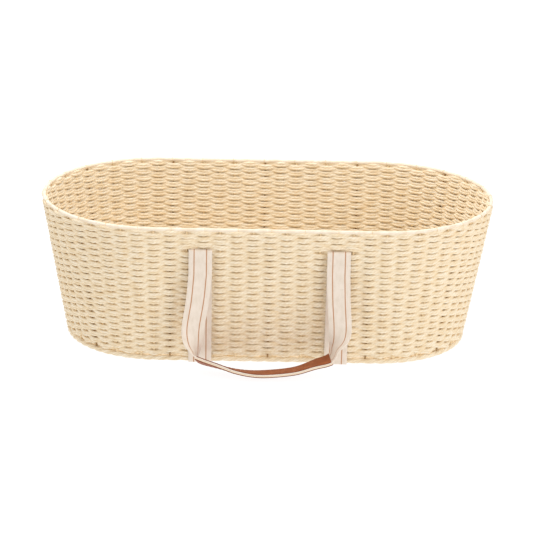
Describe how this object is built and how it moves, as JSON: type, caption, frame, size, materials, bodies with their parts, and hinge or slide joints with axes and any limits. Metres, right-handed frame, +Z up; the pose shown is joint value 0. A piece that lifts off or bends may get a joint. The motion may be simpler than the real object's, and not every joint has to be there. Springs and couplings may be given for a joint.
{
  "type": "moses basket",
  "caption": "Oval woven moses basket of natural paper cord with two striped cotton straps and two hanging tape handles with tan leather grips.",
  "frame": {"origin": "centre of the overall footprint, on the floor that the basket stands on", "axes": "+X along the basket's length, +Y towards the rear long side, +Z up; the front handle faces -Y"},
  "size_m": [0.8002, 0.5134, 0.2615],
  "materials": {
    "paper_cord": "matt twisted paper",
    "paper_rope": "matt twisted paper",
    "steel_wire": "drawn wire",
    "cotton_tape": "woven cotton with two rust pinstripes",
    "cotton_core": "raw canvas edge",
    "tan_leather": "semi-matt grain",
    "sewing_thread": "waxed thread"
  },
  "bodies": {
    "root": {"rim_hoop": "steel_wire", "rim_rope": "paper_rope", "rim_ties": "paper_rope", "base_hoop": "steel_wire", "base_border": "paper_rope", "upright_wire_1": "steel_wire", "upright_wire_2": "steel_wire", "upright_wire_3": "steel_wire", "upright_wire_4": "steel_wire", "upright_wire_5": "steel_wire", "upright_wire_6": "steel_wire", "upright_wire_7": "steel_wire", "upright_wire_8": "steel_wire", "upright_wire_9": "steel_wire", "upright_wire_10": "steel_wire", "upright_wire_11": "steel_wire", "upright_wire_12": "steel_wire", "stakes_front": "paper_cord", "stakes_right_end": "paper_cord", "stakes_rear": "paper_cord", "stakes_left_end": "paper_cord", "weave_band_1": "paper_cord", "weave_band_2": "paper_cord", "weave_band_3": "paper_cord", "base_weave": "paper_cord", "base_stakes": "paper_cord", "base_cross_wire_1": "steel_wire", "base_cross_wire_2": "steel_wire", "base_cross_wire_3": "steel_wire", "base_cross_wire_4": "steel_wire", "base_cross_wire_5": "steel_wire", "strap_left": "cotton_tape", "strap_right": "cotton_tape"},
    "front_handle_lower": {"front_tape_lower_left": "cotton_tape", "front_tape_lower_right": "cotton_tape"},
    "front_handle_upper": {"front_handle_tape": "cotton_tape", "front_grip_core": "cotton_core", "front_grip_top": "tan_leather", "front_grip_bottom": "tan_leather", "front_grip_stitching": "sewing_thread"},
    "rear_handle_lower": {"rear_tape_lower_left": "cotton_tape", "rear_tape_lower_right": "cotton_tape"},
    "rear_handle_upper": {"rear_handle_tape": "cotton_tape", "rear_grip_core": "cotton_core", "rear_grip_top": "tan_leather", "rear_grip_bottom": "tan_leather", "rear_grip_stitching": "sewing_thread"}
  },
  "joints": [
    {"name": "front_handle_lift", "type": "hinge", "parent": "root", "child": "front_handle_lower", "pos_m": [0, -0.20871, 0.22], "axis": [-1, 0, 0], "range_deg": [0, 173]},
    {"name": "front_handle_fold", "type": "hinge", "parent": "front_handle_lower", "child": "front_handle_upper", "pos_m": [0, -0.20871, 0.1781], "axis": [-1, 0, 0], "range_deg": [0, 85]},
    {"name": "rear_handle_lift", "type": "hinge", "parent": "root", "child": "rear_handle_lower", "pos_m": [0, 0.20871, 0.22], "axis": [1, 0, 0], "range_deg": [0, 173]},
    {"name": "rear_handle_fold", "type": "hinge", "parent": "rear_handle_lower", "child": "rear_handle_upper", "pos_m": [0, 0.20871, 0.1781], "axis": [1, 0, 0], "range_deg": [0, 85]}
  ]
}
